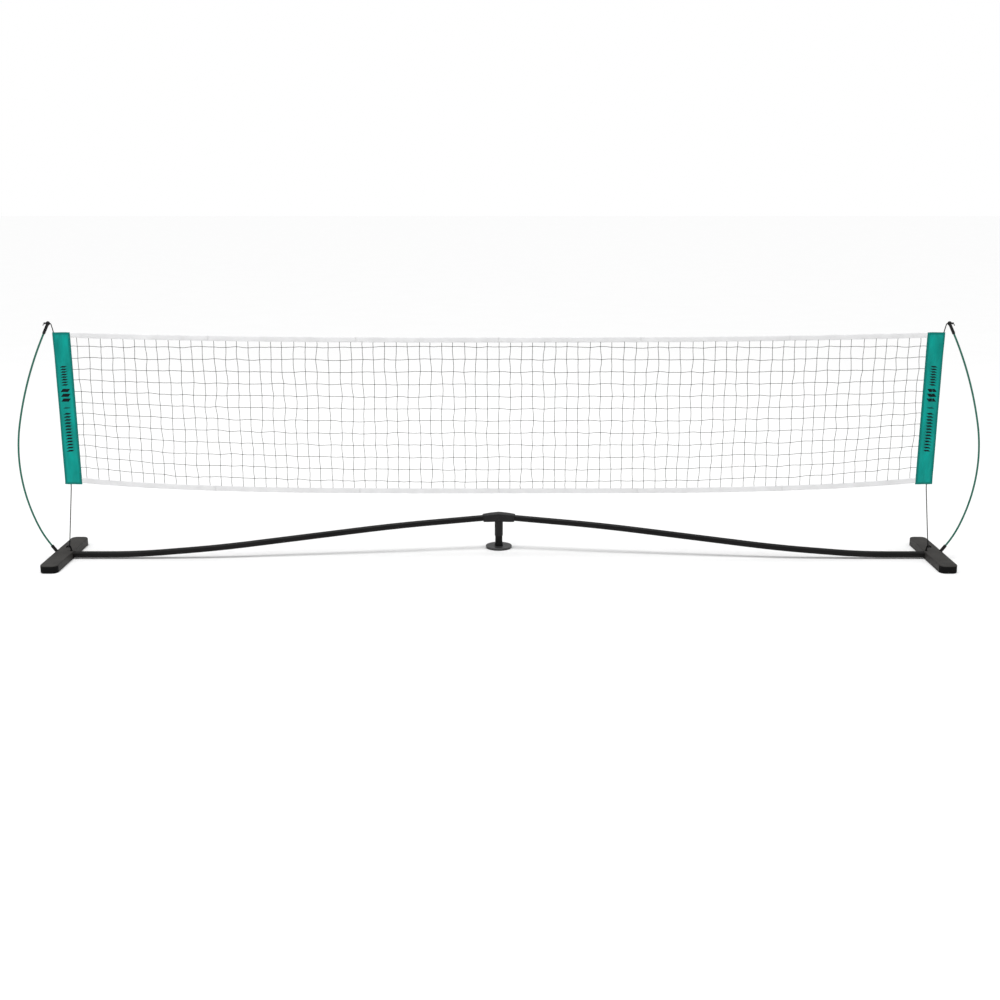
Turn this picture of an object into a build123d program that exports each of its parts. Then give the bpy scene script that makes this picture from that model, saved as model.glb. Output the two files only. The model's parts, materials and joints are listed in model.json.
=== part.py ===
"""Portable pickleball net: two weighted feet, a plug-together rail, bow rods and a tensioned net.

Frame: X along the net, Y away from the player, Z up, origin on the floor under the middle of the
object's box. The object is symmetric about X = 0, so each end is modelled once, on the +X side,
and written as the right piece and its mirror image.
"""

from build123d import *
import math
import os

os.makedirs("parts", exist_ok=True)

# ---- Driving dimensions, mm ----
NET_TOP = 914.0  # top corner of the net above the floor
FOOT_OUTER = 1790.0  # middle of the net to a foot's outer face
FOOT_WIDTH = 70.0
FOOT_LENGTH = 434.0
FOOT_HEIGHT = 31.7
FOOT_CORNER = 24.0
TUBE_R, TUBE_BORE = 12.7, 11.2  # 1 in steel tube
FIT = 0.06  # radial clearance of a running fit
GAP = 0.4  # clearance between soft pieces
OVERCUT = 1.0  # how far a cut starts outside its piece
END_PLAY = 1.0  # free length past the end of a tube or rod in its blind bore

# ---- Rail: straight runs of one half, joined by large arcs ----
HUB = Vector(0, 162, 132.5)
RAIL_BEND_1 = Vector(420, 100, 110)
RAIL_BEND_2 = Vector(1130, 8, 42)
RAIL_BEND_3 = Vector(1465, 0, 16.6)
BEND_TANGENTS = (150.0, 130.0, 105.0)  # straight length that each arc takes up beside its corner
RAIL_JOINT_AT = 400.0  # end of the inner tube, measured from the first bend
SPIGOT_LENGTH, SPIGOT_ROOT, SPIGOT_WALL = 48.0, 6.0, 1.5

# ---- Hub and centre post ----
HUB_HEIGHT, HUB_WIDTH = 34.0, 42.0
HUB_SHOULDER, HUB_MOUTH, HUB_MOUTH_EDGE = 34.0, 66.0, 1.2  # stations along an arm, from the hub's middle
HUB_SHOULDER_HEIGHT, HUB_SHOULDER_WIDTH, HUB_MOUTH_SIZE = 33.0, 40.0, 30.0
HUB_CORNER = 6.0
HUB_INSERT_END = 18.0  # inner end of a rail tube, from the hub's middle
SLEEVE_R, SLEEVE_BOTTOM = 17.0, 52.0
POST_R, POST_WALL = 15.0, 2.0
POST_TOP, POST_BOTTOM = 110.0, 14.0
COLLAR_R, COLLAR_BOTTOM, COLLAR_TOP, COLLAR_EDGE = 16.8, 10.5, 21.0, 1.2
DISC_R, DISC_BOTTOM, DISC_TOP, DISC_EDGE = 54.0, 3.0, 10.0, 1.5
PAD_INSET, SMALL_EDGE = 2.0, 0.8
STUD_R, STUD_TOP, STUD_CLEARANCE = 4.0, 44.0, 1.5
PLUG_TOP = 50.0
HUB_SCREW_AT, HUB_SCREW_OUT = 34.0, 16.2  # along an arm, and to each side of it
HUB_SCREW_R, HUB_SCREW_HOLE, HUB_SCREW_LENGTH = 1.5, 1.6, 22.0
HUB_HEAD_R, HUB_HEAD_RECESS, HUB_HEAD = 2.4, 2.6, 2.2
HUB_SEAT_UP, HUB_PILOT = 3.5, 11.0  # screw seat above the hub's underside, pilot hole above the split

# ---- Feet ----
FOOT_INNER = FOOT_OUTER - FOOT_WIDTH
FOOT_X = FOOT_OUTER - FOOT_WIDTH / 2
SOLE = 3.0
FOOT_WALL, CAP_WALL, CAP_TOP, FOOT_EDGE = 3.0, 3.0, 27.5, 4.0
SOLE_INSET, SOLE_EDGE = 1.0, 0.6
CORE_HALF = 24.0  # half length of the solid block that holds the rail, socket and hook
RAIL_END = 1755.0
RAIL_Z = RAIL_BEND_3.Z
SCREW_ROWS = (60.0, 165.0)  # sole screws, each side of the middle
SCREW_R, SCREW_LENGTH, SCREW_POST_R = 2.0, 14.0, 5.0
SCREW_HEAD_R, SCREW_RECESS, SCREW_HEAD = 3.8, 1.8, 1.4

# ---- Bow rod, its socket and its tip cap ----
ROD_R, SOCKET_R, SOCKET_EDGE = 3.8, 6.5, 1.0
ROD_LEAN = math.radians(36.5)  # socket axis, outward from vertical
SOCKET_MOUTH = Vector(1805, 0, 54)
SOCKET_DEPTH, SOCKET_FLOOR, ROD_INSERT, ROD_STRAIGHT = 48.0, 2.0, 47.5, 2.0
BOW = ((394.5, 13.8), (704.0, 34.4), (1482.0, 14.6))  # arc radius and angle, from the socket up
CAP_R, CAP_LENGTH, CAP_BORE_DEPTH = 5.8, 45.0, 36.0
KNOB_R, EYE_R, EYE_LEAD = 8.5, 2.5, 2.5  # the cord runs straight past the knob by the lead

# ---- Cords, hook, sleeves and net ----
CORD_R = 2.0
HOOK_R = 3.0
HOOK_BASE, HOOK_CREST, HOOK_TIP = (1728, 30), (1733, 56), (1747, 46.5)
HOOK_STEM, HOOK_BENDS = 6.0, [9.0, 6.0]  # straight stem above the foot, and its two bend radii
FLANGE_R, FLANGE = 5.6, 1.6
KNOT_R, CAP_KNOT_R, KNOT_BITE, TAIL = 4.6, 4.2, 0.6, 9.0
TAIL_DIRECTION = Vector(1, 0, -1).normalized()
CORD_TURN, STRING_BEND, BEND_BELOW_SLEEVE = 4.5, 60.0, 9.0
CORD_END_ABOVE, CORD_END_SIDE = 1.2, 1.0  # where the upper cord end stops, from the channel's mouth
LOOP_KNOT, LOOP_BAR = Vector(1731.6, 0, 71), Vector(1736.6, 0, 44)  # the bar lies under the hook's crest
LOOP_HALF, LOOP_SHOULDER, LOOP_BEND = 5.6, 9.0, 5.2
LOOP_ROOT = 0.4  # how far beside the knot's middle the loop starts, as a share of its half width
SLEEVE_FOOT, SLEEVE_THICK = 308.0, 7.0
SLEEVE_OUTER_TOP, SLEEVE_OUTER_FOOT = 1736.0, 1731.0
SLEEVE_SEAM_TOP, SLEEVE_SEAM_FOOT = 1667.6, 1663.0  # the edge that is sewn to the net
CHANNEL_R, CHANNEL_OVERRUN = 2.6, 5.0
CHANNEL_TOP, CHANNEL_BOTTOM = Vector(1731, 0, NET_TOP), Vector(1708.5, 0, SLEEVE_FOOT)
NET_HALF = SLEEVE_SEAM_FOOT - GAP
TAPE_THICK, TOP_TAPE, BOTTOM_TAPE = 4.0, 21.0, 22.0
TOP_SAG, BOTTOM_SAG = 19.0, 43.0
TOP_POWER, BOTTOM_POWER = 2.6, 3.6
NET_BOTTOM = 313.0  # lower edge of the bottom tape beside a sleeve
MESH_THICK = 1.2
CURVE_STEPS = 6


def write(piece, name):
    """Label a finished piece and write its STEP file."""
    piece.label = name
    export_step(piece, f"parts/{name}.step")


def write_pair(piece, name):
    """Write a +X piece as the right one, and its mirror image as the left one."""
    write(mirror(piece, about=Plane.YZ), f"left_{name}")
    write(piece, f"right_{name}")


def arc_radius(before, corner, after, tangent):
    """Radius of the arc that leaves its two runs at the tangent length from their corner."""
    turn = math.radians((corner - before).get_angle(after - corner))
    return tangent / math.tan(turn / 2)


def arc_point(start, lean, radius, turn):
    """Point on an arc in the net's plane that starts leaning outward and turns inward."""
    return start + radius * Vector(
        math.cos(lean - turn) - math.cos(lean), 0, math.sin(lean) - math.sin(lean - turn)
    )


def sweep_round(path, outer, bore=0.0):
    """Sweep a round bar, or a tube when it has a bore, along a line in the open part."""
    with BuildSketch(Plane(origin=path.line @ 0, z_dir=path.line % 0)) as section:
        Circle(outer)
        if bore:
            Circle(bore, mode=Mode.SUBTRACT)
    sweep(section.sketch, path=path.line)


def rod_along(start, direction, length, radius, bore=0.0, mode=Mode.ADD):
    """A straight round bar or tube from a point along a direction."""
    with BuildSketch(Plane(origin=start, z_dir=direction)) as section:
        Circle(radius)
        if bore:
            Circle(bore, mode=Mode.SUBTRACT)
    extrude(section.sketch, amount=length, mode=mode)


def edge_height(x, at_sleeve, sag, power):
    """Height of a sagging net edge: at_sleeve at its ends, and lower by sag in the middle."""
    return at_sleeve - sag * (1 - (abs(x) / NET_HALF) ** power)


def sagging_edge(half, at_sleeve, sag, power):
    """Points along a sagging edge from -half to +half."""
    return [
        (half * i / CURVE_STEPS, edge_height(half * i / CURVE_STEPS, at_sleeve, sag, power))
        for i in range(-CURVE_STEPS, CURVE_STEPS + 1)
    ]


def net_strip(half, thick, top, bottom):
    """A flat strip of the net between two sagging edges, each given as height, sag and power."""
    upper = sagging_edge(half, *top)
    lower = sagging_edge(half, *bottom)
    with BuildSketch(Plane.XZ) as outline:
        with BuildLine():
            Spline(upper)
            Spline(lower)
            Line(upper[0], lower[0])
            Line(upper[-1], lower[-1])
        make_face()
    extrude(outline.sketch, amount=thick / 2, both=True)


def foot_outline(inset=0.0, mode=Mode.ADD):
    """Plan of a foot: a straight bar with rounded ends."""
    with Locations((FOOT_X, 0)):
        RectangleRounded(
            FOOT_WIDTH - 2 * inset, FOOT_LENGTH - 2 * inset, radius=FOOT_CORNER - inset, mode=mode
        )


def end_band():
    """Plan of the rubber caps: a band around both ends of a foot, past their corners."""
    foot_outline()
    foot_outline(CAP_WALL, mode=Mode.SUBTRACT)
    with Locations((FOOT_X, 0)):
        Rectangle(FOOT_WIDTH, FOOT_LENGTH - 2 * FOOT_CORNER, mode=Mode.SUBTRACT)


# ---- Directions and points that several pieces share ----
arm_dir = (RAIL_BEND_1 - HUB).normalized()
run_dir = (RAIL_BEND_2 - RAIL_BEND_1).normalized()
rail_joint = RAIL_BEND_1 + run_dir * RAIL_JOINT_AT
rail_end = Vector(RAIL_END - END_PLAY, 0, RAIL_Z)
socket_dir = Vector(math.sin(ROD_LEAN), 0, math.cos(ROD_LEAN))
socket_root = SOCKET_MOUTH - socket_dir * (SOCKET_DEPTH + SOCKET_FLOOR)
across = Vector(0, 0, 1).cross(arm_dir).normalized()
arm_plane = Plane(origin=HUB, x_dir=across.cross(arm_dir), z_dir=arm_dir)
middle_plane = Plane(origin=HUB, x_dir=(0, 0, -1), z_dir=(1, 0, 0))
POST_AT = Location((HUB.X, HUB.Y, 0))

# ---- Hub: one moulding with two arms and a sleeve, split into an upper and a lower shell ----
with BuildPart() as hub:
    for plane, high, wide in (
        (middle_plane, HUB_HEIGHT, HUB_WIDTH),
        (arm_plane.offset(HUB_SHOULDER), HUB_SHOULDER_HEIGHT, HUB_SHOULDER_WIDTH),
        (arm_plane.offset(HUB_MOUTH), HUB_MOUTH_SIZE, HUB_MOUTH_SIZE),
    ):
        with BuildSketch(plane):
            RectangleRounded(high, wide, radius=HUB_CORNER)
    loft()
    chamfer(faces().sort_by(Axis.X)[-1].edges(), length=HUB_MOUTH_EDGE)
    mirror(about=Plane.YZ)
    with BuildSketch(Plane.XY.offset(SLEEVE_BOTTOM)):
        with Locations(POST_AT):
            Circle(SLEEVE_R)
    extrude(amount=HUB.Z - SLEEVE_BOTTOM)
    fillet(hub.edges().group_by(Axis.Z)[0], radius=SMALL_EDGE)
    for side in (1, -1):
        out = Vector(side * arm_dir.X, arm_dir.Y, arm_dir.Z)
        rod_along(HUB + out * (HUB_INSERT_END - GAP), out, HUB_MOUTH, TUBE_R + FIT, mode=Mode.SUBTRACT)
    with BuildSketch(Plane.XY.offset(SLEEVE_BOTTOM)):
        with Locations(POST_AT):
            Circle(POST_R + FIT)
    extrude(amount=POST_TOP + GAP - SLEEVE_BOTTOM, mode=Mode.SUBTRACT)

screw_seat = HUB.Z - HUB_HEIGHT / 2 + HUB_SEAT_UP
screw_spots = []
for offset in (HUB_SCREW_OUT, -HUB_SCREW_OUT):
    spot = HUB + arm_dir * HUB_SCREW_AT + across * offset
    screw_spots += [(spot.X, spot.Y), (-spot.X, spot.Y)]

with BuildPart() as hub_lower_shell:
    add(hub.part)
    split(bisect_by=Plane.XY.offset(HUB.Z), keep=Keep.BOTTOM)
    with BuildSketch(Plane.XY.offset(HUB.Z)):
        with Locations(*screw_spots):
            Circle(HUB_SCREW_HOLE)
    extrude(amount=-HUB_HEIGHT, mode=Mode.SUBTRACT)
    with BuildSketch(Plane.XY.offset(screw_seat)):
        with Locations(*screw_spots):
            Circle(HUB_HEAD_RECESS)
    extrude(amount=-HUB_HEIGHT, mode=Mode.SUBTRACT)

with BuildPart() as hub_upper_shell:
    add(hub.part)
    split(bisect_by=Plane.XY.offset(HUB.Z), keep=Keep.TOP)
    with BuildSketch(Plane.XY.offset(HUB.Z)):
        with Locations(*screw_spots):
            Circle(HUB_SCREW_HOLE)
    extrude(amount=HUB_PILOT, mode=Mode.SUBTRACT)

with BuildPart() as hub_screws:
    for radius, length in ((HUB_HEAD_R, -HUB_HEAD), (HUB_SCREW_R, HUB_SCREW_LENGTH)):
        with BuildSketch(Plane.XY.offset(screw_seat)):
            with Locations(*screw_spots):
                Circle(radius)
        extrude(amount=length)

write(hub_upper_shell.part, "hub_upper_shell")
write(hub_lower_shell.part, "hub_lower_shell")
write(hub_screws.part, "hub_screws")

# ---- Centre post: tube, collar and threaded plug, with the levelling disc under it ----
with BuildPart() as post_tube:
    with BuildSketch(Plane.XY.offset(POST_BOTTOM)):
        with Locations(POST_AT):
            Circle(POST_R)
            Circle(POST_R - POST_WALL, mode=Mode.SUBTRACT)
    extrude(amount=POST_TOP - POST_BOTTOM)

with BuildPart() as post_collar:
    with BuildSketch(Plane.XY.offset(COLLAR_BOTTOM)):
        with Locations(POST_AT):
            Circle(COLLAR_R)
    extrude(amount=COLLAR_TOP - COLLAR_BOTTOM)
    fillet(post_collar.edges().group_by(Axis.Z)[-1], radius=COLLAR_EDGE)
    with BuildSketch(Plane.XY.offset(POST_BOTTOM)):
        with Locations(POST_AT):
            Circle(POST_R)
    extrude(amount=COLLAR_TOP, mode=Mode.SUBTRACT)
    with BuildSketch(Plane.XY.offset(COLLAR_BOTTOM)):
        with Locations(POST_AT):
            Circle(STUD_R + STUD_CLEARANCE)
    extrude(amount=COLLAR_TOP, mode=Mode.SUBTRACT)

with BuildPart() as post_plug:
    with BuildSketch(Plane.XY.offset(POST_BOTTOM)):
        with Locations(POST_AT):
            Circle(POST_R - POST_WALL)
            Circle(STUD_R + FIT, mode=Mode.SUBTRACT)
    extrude(amount=PLUG_TOP - POST_BOTTOM)

with BuildPart() as disc:
    with BuildSketch(Plane.XY.offset(DISC_BOTTOM)):
        with Locations(POST_AT):
            Circle(DISC_R)
            Circle(STUD_R, mode=Mode.SUBTRACT)
    extrude(amount=DISC_TOP - DISC_BOTTOM)
    fillet(disc.edges().group_by(Axis.Z)[-1].sort_by(SortBy.RADIUS)[-1], radius=DISC_EDGE)

with BuildPart() as disc_stud:
    with BuildSketch(Plane.XY.offset(DISC_BOTTOM)):
        with Locations(POST_AT):
            Circle(STUD_R)
    extrude(amount=STUD_TOP - DISC_BOTTOM)
    chamfer(disc_stud.edges().group_by(Axis.Z)[-1], length=SMALL_EDGE)

with BuildPart() as disc_pad:
    with BuildSketch():
        with Locations(POST_AT):
            Circle(DISC_R - PAD_INSET)
    extrude(amount=DISC_BOTTOM)
    chamfer(disc_pad.edges().group_by(Axis.Z)[0], length=SMALL_EDGE)

write(post_tube.part, "post_tube")
write(post_collar.part, "post_collar")
write(post_plug.part, "post_plug")
write(disc.part, "disc")
write(disc_stud.part, "disc_stud")
write(disc_pad.part, "disc_pad")

# ---- Rails: an inner tube from the hub, and an outer tube with a spigot, into the foot ----
bend_radii = [
    arc_radius(HUB, RAIL_BEND_1, RAIL_BEND_2, BEND_TANGENTS[0]),
    arc_radius(RAIL_BEND_1, RAIL_BEND_2, RAIL_BEND_3, BEND_TANGENTS[1]),
    arc_radius(RAIL_BEND_2, RAIL_BEND_3, rail_end, BEND_TANGENTS[2]),
]

with BuildPart() as inner_rail:
    with BuildLine() as inner_path:
        FilletPolyline(HUB + arm_dir * HUB_INSERT_END, RAIL_BEND_1, rail_joint, radius=bend_radii[:1])
    sweep_round(inner_path, TUBE_R, TUBE_BORE)

with BuildPart() as outer_rail:
    with BuildLine() as outer_path:
        FilletPolyline(
            rail_joint + run_dir * SPIGOT_ROOT, RAIL_BEND_2, RAIL_BEND_3, rail_end, radius=bend_radii[1:]
        )
    sweep_round(outer_path, TUBE_R, TUBE_BORE)
    rod_along(rail_joint, run_dir, SPIGOT_ROOT, TUBE_R, TUBE_BORE - SPIGOT_WALL)
    rod_along(
        rail_joint - run_dir * SPIGOT_LENGTH,
        run_dir,
        SPIGOT_LENGTH,
        TUBE_BORE - FIT,
        TUBE_BORE - SPIGOT_WALL,
    )

write_pair(inner_rail.part, "inner_rail")
write_pair(outer_rail.part, "outer_rail")

# ---- Foot: hollow shell around a solid core, rubber caps on its ends, rubber sole ----
foot_screw_spots = [(FOOT_X, side * row) for side in (-1, 1) for row in SCREW_ROWS]

with BuildPart() as foot_shell:
    with BuildSketch(Plane.XY.offset(SOLE)):
        foot_outline()
    extrude(amount=FOOT_HEIGHT - SOLE)
    fillet(foot_shell.edges().group_by(Axis.Z)[-1], radius=FOOT_EDGE)
    with BuildSketch(Plane.XY.offset(SOLE)):
        foot_outline(CAP_WALL + FOOT_WALL)
        with Locations((FOOT_X, 0)):
            Rectangle(FOOT_WIDTH, 2 * CORE_HALF, mode=Mode.SUBTRACT)
        with Locations(*foot_screw_spots):
            Circle(SCREW_POST_R, mode=Mode.SUBTRACT)
    extrude(amount=FOOT_HEIGHT - SOLE - FOOT_WALL, mode=Mode.SUBTRACT)
    with BuildSketch(Plane.XY.offset(SOLE)):
        end_band()
    extrude(amount=CAP_TOP - SOLE, mode=Mode.SUBTRACT)
    rod_along(
        Vector(FOOT_INNER - OVERCUT, 0, RAIL_Z),
        Vector(1, 0, 0),
        RAIL_END - FOOT_INNER + OVERCUT,
        TUBE_R + FIT,
        mode=Mode.SUBTRACT,
    )
    rod_along(socket_root, socket_dir, FOOT_LENGTH, SOCKET_R, mode=Mode.SUBTRACT)
    with BuildSketch(Plane.XY.offset(HOOK_BASE[1])):
        with Locations((HOOK_BASE[0], 0)):
            Circle(HOOK_R)
    extrude(amount=FOOT_HEIGHT, mode=Mode.SUBTRACT)
    with BuildSketch(Plane.XY.offset(SOLE)):
        with Locations(*foot_screw_spots):
            Circle(SCREW_R)
    extrude(amount=SCREW_LENGTH, mode=Mode.SUBTRACT)

with BuildPart() as foot_sole:
    with BuildSketch():
        foot_outline(SOLE_INSET)
    extrude(amount=SOLE)
    chamfer(foot_sole.edges().group_by(Axis.Z)[0], length=SOLE_EDGE)
    for radius, depth in ((SCREW_R, SOLE), (SCREW_HEAD_R, SCREW_RECESS)):
        with BuildSketch():
            with Locations(*foot_screw_spots):
                Circle(radius)
        extrude(amount=depth, mode=Mode.SUBTRACT)

with BuildPart() as foot_screws:
    for radius, length in ((SCREW_HEAD_R, -SCREW_HEAD), (SCREW_R, SCREW_LENGTH)):
        with BuildSketch(Plane.XY.offset(SCREW_RECESS)):
            with Locations(*foot_screw_spots):
                Circle(radius)
        extrude(amount=length)

write_pair(foot_shell.part, "foot_shell")
write_pair(foot_sole.part, "foot_sole")
write_pair(foot_screws.part, "foot_screws")

for end, name in ((-1, "toe_cap"), (1, "heel_cap")):
    with BuildPart() as end_cap:
        with BuildSketch(Plane.XY.offset(SOLE)):
            end_band()
            with Locations((FOOT_X, -end * FOOT_LENGTH / 2)):
                Rectangle(FOOT_WIDTH, FOOT_LENGTH, mode=Mode.SUBTRACT)
        extrude(amount=CAP_TOP - SOLE)
    write_pair(end_cap.part, name)

# ---- Rod socket: a blind tube pressed into the foot's core ----
with BuildPart() as rod_socket:
    rod_along(socket_root, socket_dir, SOCKET_DEPTH + SOCKET_FLOOR, SOCKET_R)
    fillet(rod_socket.edges().sort_by(Axis.Z)[-1], radius=SOCKET_EDGE)
    rod_along(
        SOCKET_MOUTH - socket_dir * SOCKET_DEPTH,
        socket_dir,
        SOCKET_DEPTH + OVERCUT,
        ROD_R + FIT,
        mode=Mode.SUBTRACT,
    )
write_pair(rod_socket.part, "rod_socket")

# ---- Bow rod: straight in its socket, then three tangent arcs up to the tip cap ----
with BuildPart() as bow_rod:
    with BuildLine() as bow_path:
        bow_start = SOCKET_MOUTH + socket_dir * ROD_STRAIGHT
        Line(SOCKET_MOUTH - socket_dir * ROD_INSERT, bow_start)
        lean = ROD_LEAN
        for radius, angle in BOW:
            turn = math.radians(angle)
            bow_end = arc_point(bow_start, lean, radius, turn)
            ThreePointArc(bow_start, arc_point(bow_start, lean, radius, turn / 2), bow_end)
            bow_start = bow_end
            lean -= turn
        rod_top = bow_end
        cap_dir = Vector(math.sin(lean), 0, math.cos(lean))
        Line(rod_top, rod_top + cap_dir * (CAP_BORE_DEPTH - END_PLAY))
    sweep_round(bow_path, ROD_R)
write_pair(bow_rod.part, "bow_rod")

knob_at = rod_top + cap_dir * CAP_LENGTH

# ---- Tip cap: a blind cap with a knob that the cord's end passes through ----
with BuildPart() as tip_cap:
    rod_along(rod_top, cap_dir, CAP_LENGTH, CAP_R)
    fillet(tip_cap.edges().sort_by(Axis.Z)[0], radius=SMALL_EDGE)
    with Locations(knob_at):
        Sphere(KNOB_R)
    rod_along(
        rod_top - cap_dir * OVERCUT, cap_dir, CAP_BORE_DEPTH + OVERCUT, ROD_R, mode=Mode.SUBTRACT
    )
    eye_start = knob_at - Vector(KNOB_R + OVERCUT, 0, 0)
    rod_along(eye_start, Vector(1, 0, 0), 2 * (KNOB_R + OVERCUT), EYE_R, mode=Mode.SUBTRACT)
write_pair(tip_cap.part, "tip_cap")

# ---- Upper cord end: knot and tail outside the knob, through its eye, down to the sleeve ----
knot_at = knob_at + Vector(KNOB_R + KNOT_R - KNOT_BITE, 0, 0)
eye_mouth = knob_at - Vector(KNOB_R + EYE_LEAD, 0, 0)
cord_end_foot = CHANNEL_TOP + Vector(CORD_END_SIDE, 0, CORD_END_ABOVE)
with BuildPart() as cord_end:
    with BuildLine() as cord_end_path:
        FilletPolyline(knot_at, eye_mouth, cord_end_foot, radius=CORD_TURN)
    sweep_round(cord_end_path, CORD_R)
    with Locations(knot_at):
        Sphere(CAP_KNOT_R)
    rod_along(knot_at, TAIL_DIRECTION, TAIL, CORD_R)
write_pair(cord_end.part, "cord_end")

# ---- Bowstring: through the sleeve's channel and down to a knot and a loop on the hook ----
channel_dir = (CHANNEL_BOTTOM - CHANNEL_TOP).normalized()
string_top = CHANNEL_TOP + channel_dir
string_bend = CHANNEL_BOTTOM + channel_dir * BEND_BELOW_SLEEVE
with BuildPart() as bowstring:
    with BuildLine() as string_path:
        FilletPolyline(string_top, string_bend, LOOP_KNOT, radius=STRING_BEND)
    sweep_round(string_path, CORD_R)
    with Locations(LOOP_KNOT):
        Sphere(KNOT_R)
    loop_up = (LOOP_KNOT - LOOP_BAR).normalized()
    beside = Vector(0, LOOP_HALF, 0)
    with BuildLine() as loop_path:
        FilletPolyline(
            LOOP_KNOT + beside * LOOP_ROOT,
            LOOP_KNOT - loop_up * LOOP_SHOULDER + beside,
            LOOP_BAR + beside,
            LOOP_BAR - beside,
            LOOP_KNOT - loop_up * LOOP_SHOULDER - beside,
            LOOP_KNOT - beside * LOOP_ROOT,
            radius=LOOP_BEND,
        )
    sweep_round(loop_path, CORD_R)
write_pair(bowstring.part, "bowstring")

# ---- Hook: bent wire with a flange on the foot's top ----
with BuildPart() as hook:
    with BuildLine(Plane.XZ) as hook_path:
        hook_stem = (HOOK_BASE[0], FOOT_HEIGHT + HOOK_STEM)
        FilletPolyline(HOOK_BASE, hook_stem, HOOK_CREST, HOOK_TIP, radius=HOOK_BENDS)
    sweep_round(hook_path, HOOK_R)
    with BuildSketch(Plane.XY.offset(FOOT_HEIGHT)):
        with Locations((HOOK_BASE[0], 0)):
            Circle(FLANGE_R)
    extrude(amount=FLANGE)
write_pair(hook.part, "hook")

# ---- Side sleeve: a flat fabric tube with a slanting channel for the bowstring ----
with BuildPart() as side_sleeve:
    with BuildSketch(Plane.XZ):
        with BuildLine():
            Polyline(
                (SLEEVE_SEAM_TOP, NET_TOP),
                (SLEEVE_OUTER_TOP, NET_TOP),
                (SLEEVE_OUTER_FOOT, SLEEVE_FOOT),
                (SLEEVE_SEAM_FOOT, SLEEVE_FOOT),
                close=True,
            )
        make_face()
    extrude(amount=SLEEVE_THICK / 2, both=True)
    rod_along(
        CHANNEL_TOP - channel_dir * CHANNEL_OVERRUN,
        channel_dir,
        NET_TOP - SLEEVE_FOOT + 2 * CHANNEL_OVERRUN,
        CHANNEL_R,
        mode=Mode.SUBTRACT,
    )
write_pair(side_sleeve.part, "side_sleeve")

# ---- Net: mesh panel between a top and a bottom tape ----
top_edge = (NET_TOP, TOP_SAG, TOP_POWER)
top_seam = (NET_TOP - TOP_TAPE, TOP_SAG, TOP_POWER)
bottom_edge = (NET_BOTTOM, BOTTOM_SAG, BOTTOM_POWER)
bottom_seam = (NET_BOTTOM + BOTTOM_TAPE, BOTTOM_SAG, BOTTOM_POWER)

with BuildPart() as top_tape:
    net_strip(NET_HALF, TAPE_THICK, top_edge, top_seam)
with BuildPart() as bottom_tape:
    net_strip(NET_HALF, TAPE_THICK, bottom_seam, bottom_edge)
with BuildPart() as net_mesh:
    net_strip(
        NET_HALF,
        MESH_THICK,
        (top_seam[0] - GAP, TOP_SAG, TOP_POWER),
        (bottom_seam[0] + GAP, BOTTOM_SAG, BOTTOM_POWER),
    )

write(top_tape.part, "top_tape")
write(bottom_tape.part, "bottom_tape")
write(net_mesh.part, "net_mesh")
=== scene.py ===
"""Looks of the portable court net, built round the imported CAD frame. Lengths are in metres."""

import json
import math
import random

import bpy
import numpy as np
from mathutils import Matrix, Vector, noise


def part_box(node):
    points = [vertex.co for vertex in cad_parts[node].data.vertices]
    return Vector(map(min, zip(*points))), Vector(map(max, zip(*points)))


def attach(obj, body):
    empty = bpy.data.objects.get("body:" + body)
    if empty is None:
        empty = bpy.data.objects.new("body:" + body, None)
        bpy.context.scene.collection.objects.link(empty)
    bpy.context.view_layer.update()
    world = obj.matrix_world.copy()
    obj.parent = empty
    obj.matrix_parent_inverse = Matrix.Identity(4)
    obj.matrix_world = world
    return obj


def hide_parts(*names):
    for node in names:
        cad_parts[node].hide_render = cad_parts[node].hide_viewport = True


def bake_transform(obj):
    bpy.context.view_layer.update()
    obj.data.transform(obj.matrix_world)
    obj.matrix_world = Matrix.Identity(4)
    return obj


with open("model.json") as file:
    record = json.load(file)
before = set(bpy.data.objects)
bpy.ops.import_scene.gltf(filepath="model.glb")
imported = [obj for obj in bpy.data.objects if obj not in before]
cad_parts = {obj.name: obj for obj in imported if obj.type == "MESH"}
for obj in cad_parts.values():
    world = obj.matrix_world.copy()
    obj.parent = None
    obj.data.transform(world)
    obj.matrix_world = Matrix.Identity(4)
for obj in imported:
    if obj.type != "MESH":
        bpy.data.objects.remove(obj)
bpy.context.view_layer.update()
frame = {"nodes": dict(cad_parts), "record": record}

# ---- Places shared with the CAD, read from its boxes where a box gives them ----
SIDES = {"left": -1, "right": 1}
sleeve_low, sleeve_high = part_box("right_side_sleeve")
cap_low, cap_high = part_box("right_tip_cap")
SLEEVE_FOOT, NET_TOP = sleeve_low.z, sleeve_high.z
FOLD_SLANT, SEAM_SLANT = 0.005, 0.0046  # how much further out a sleeve's edges are at its top
FOLD_TOP, FOLD_FOOT = sleeve_high.x, sleeve_high.x - FOLD_SLANT  # the outer edge, where the cloth folds
SEAM_TOP, SEAM_FOOT = sleeve_low.x + SEAM_SLANT, sleeve_low.x  # the inner edge, sewn to the net
SLEEVE_WIDTH = FOLD_TOP - SEAM_TOP

CORD_R = 0.002
KNOT_CORD_R = 0.0016  # the cord is pulled thin in its knots
CORD_TOP, CORD_FOOT = 1.731, 1.7085  # where the bowstring enters and leaves the sleeve
KNOB_R = 0.0085
KNOB_X, KNOB_Z = cap_low.x + KNOB_R, cap_high.z - KNOB_R
CAP_KNOT_X = KNOB_X + 0.0119  # the knot lies against the knob's outer side
HOOK_KNOT_X, HOOK_KNOT_Z = 1.7316, 0.0682
LOOP_BAR_X, LOOP_BAR_Z = 1.7366, 0.044  # the loop's lowest point, under the hook
LOOP_HALF = 0.0056  # half of the loop's width

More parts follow.
